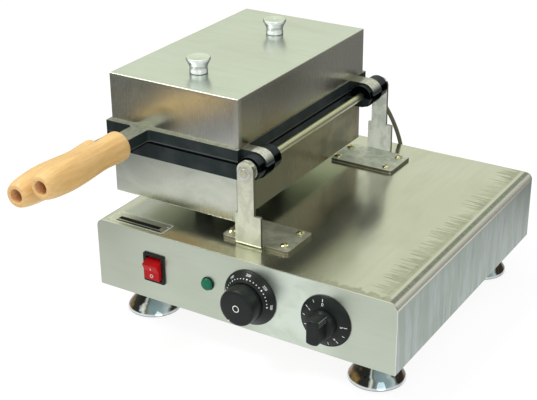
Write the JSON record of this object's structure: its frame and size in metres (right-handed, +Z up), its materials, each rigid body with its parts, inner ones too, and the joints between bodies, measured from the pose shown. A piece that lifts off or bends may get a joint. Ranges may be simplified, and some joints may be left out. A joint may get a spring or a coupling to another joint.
{
  "type": "waffle cone maker",
  "caption": "Flip-over waffle cone baker: a hinged pair of cast baking plates under steel covers with wooden handles, on a sheet-steel base with switch, lamp, thermostat and timer.",
  "frame": {"origin": "bottom centre of the whole machine's outline, on the plane the feet stand on", "axes": "+X to the right along the control front, +Y from the control front to the back (the handles point to -Y), +Z up"},
  "size_m": [0.3644, 0.4676, 0.2781],
  "materials": {
    "brushed_sheet": "brushed, light handling smears",
    "cover_sheet": "brushed, slightly heat tinted",
    "stand_steel": "satin",
    "rod_steel": "ground",
    "zinc": "bright zinc",
    "yellow_zinc": "yellow passivated",
    "chrome": "polished",
    "turned_aluminium": "turned",
    "cast_plate": "dark coated, machined faces",
    "handle_wood": "turned beech, lacquered",
    "black_plastic": "moulded",
    "red_plastic": "moulded",
    "green_lens": "moulded lens",
    "cream_plastic": "moulded",
    "heater_steel": "oxidised",
    "mineral_wool": "pressed board",
    "copper": "drawn copper",
    "lead_sleeve": "braided glass sleeve",
    "wire_red": "silicone sleeved wire",
    "rubber": "matt",
    "plate_black": "blank rating plate"
  },
  "bodies": {
    "base": {"base_shell": "brushed_sheet", "front_panel": "brushed_sheet", "rear_panel": "brushed_sheet", "bottom_plate": "brushed_sheet", "bottom_screws": "zinc", "nameplate": "plate_black", "stand_front": "stand_steel", "stand_rear": "stand_steel", "stand_screws": "yellow_zinc", "stand_nuts": "zinc", "hinge_rod": "rod_steel", "hinge_nuts": "zinc", "hinge_washers": "zinc", "switch_housing": "black_plastic", "pilot_lamp_lens": "green_lens", "pilot_lamp_body": "black_plastic", "thermostat_dial": "black_plastic", "thermostat_body": "cream_plastic", "timer_dial": "black_plastic", "timer_body": "cream_plastic", "terminal_block": "cream_plastic", "inner_wiring": "wire_red", "power_inlet": "black_plastic", "inlet_screws": "zinc", "lead_bushing": "rubber", "lower_lead": "lead_sleeve", "foot_nuts": "zinc"},
    "lower_mould": {"lower_plate": "cast_plate", "lower_cover": "cover_sheet", "lower_heater": "heater_steel", "lower_insulation": "mineral_wool", "lower_feet": "turned_aluminium", "lower_studs": "zinc", "lower_handle": "handle_wood", "lower_handle_rod": "zinc", "lower_gland": "rubber", "thermostat_bulb": "copper", "jumper_lead": "lead_sleeve"},
    "upper_mould": {"upper_plate": "cast_plate", "upper_cover": "cover_sheet", "upper_heater": "heater_steel", "upper_insulation": "mineral_wool", "upper_knobs": "turned_aluminium", "upper_studs": "zinc", "upper_handle": "handle_wood", "upper_handle_rod": "zinc", "upper_gland": "rubber"},
    "thermostat_knob": {"thermostat_knob": "black_plastic"},
    "timer_knob": {"timer_knob": "black_plastic"},
    "switch_rocker": {"switch_rocker": "red_plastic"},
    "foot_front_left": {"foot_front_left": "chrome", "pad_front_left": "rubber"},
    "foot_front_right": {"foot_front_right": "chrome", "pad_front_right": "rubber"},
    "foot_rear_left": {"foot_rear_left": "chrome", "pad_rear_left": "rubber"},
    "foot_rear_right": {"foot_rear_right": "chrome", "pad_rear_right": "rubber"}
  },
  "joints": [
    {"name": "mould_flip", "type": "hinge", "parent": "base", "child": "lower_mould", "pos_m": [0.0026, 0.05116, 0.1959], "axis": [0, 1, 0], "range_deg": [0, 180]},
    {"name": "lid_open", "type": "hinge", "parent": "lower_mould", "child": "upper_mould", "pos_m": [0.0026, 0.05116, 0.1959], "axis": [0, 1, 0], "range_deg": [0, 180]},
    {"name": "thermostat_turn", "type": "hinge", "parent": "base", "child": "thermostat_knob", "pos_m": [0.0224, -0.12734, 0.0747], "axis": [0, 1, 0], "range_deg": [0, 270]},
    {"name": "timer_turn", "type": "hinge", "parent": "base", "child": "timer_knob", "pos_m": [0.1077, -0.12734, 0.0743], "axis": [0, 1, 0], "range_deg": [-265, 0]},
    {"name": "switch_rock", "type": "hinge", "parent": "base", "child": "switch_rocker", "pos_m": [-0.0948, -0.11334, 0.0747], "axis": [-1, 0, 0], "range_deg": [0, 22]},
    {"name": "foot_front_left_level", "type": "slide", "parent": "base", "child": "foot_front_left", "axis": [0, 0, 1], "range_m": [-0.006, 0]},
    {"name": "foot_front_right_level", "type": "slide", "parent": "base", "child": "foot_front_right", "axis": [0, 0, 1], "range_m": [-0.006, 0]},
    {"name": "foot_rear_left_level", "type": "slide", "parent": "base", "child": "foot_rear_left", "axis": [0, 0, 1], "range_m": [-0.006, 0]},
    {"name": "foot_rear_right_level", "type": "slide", "parent": "base", "child": "foot_rear_right", "axis": [0, 0, 1], "range_m": [-0.006, 0]}
  ]
}
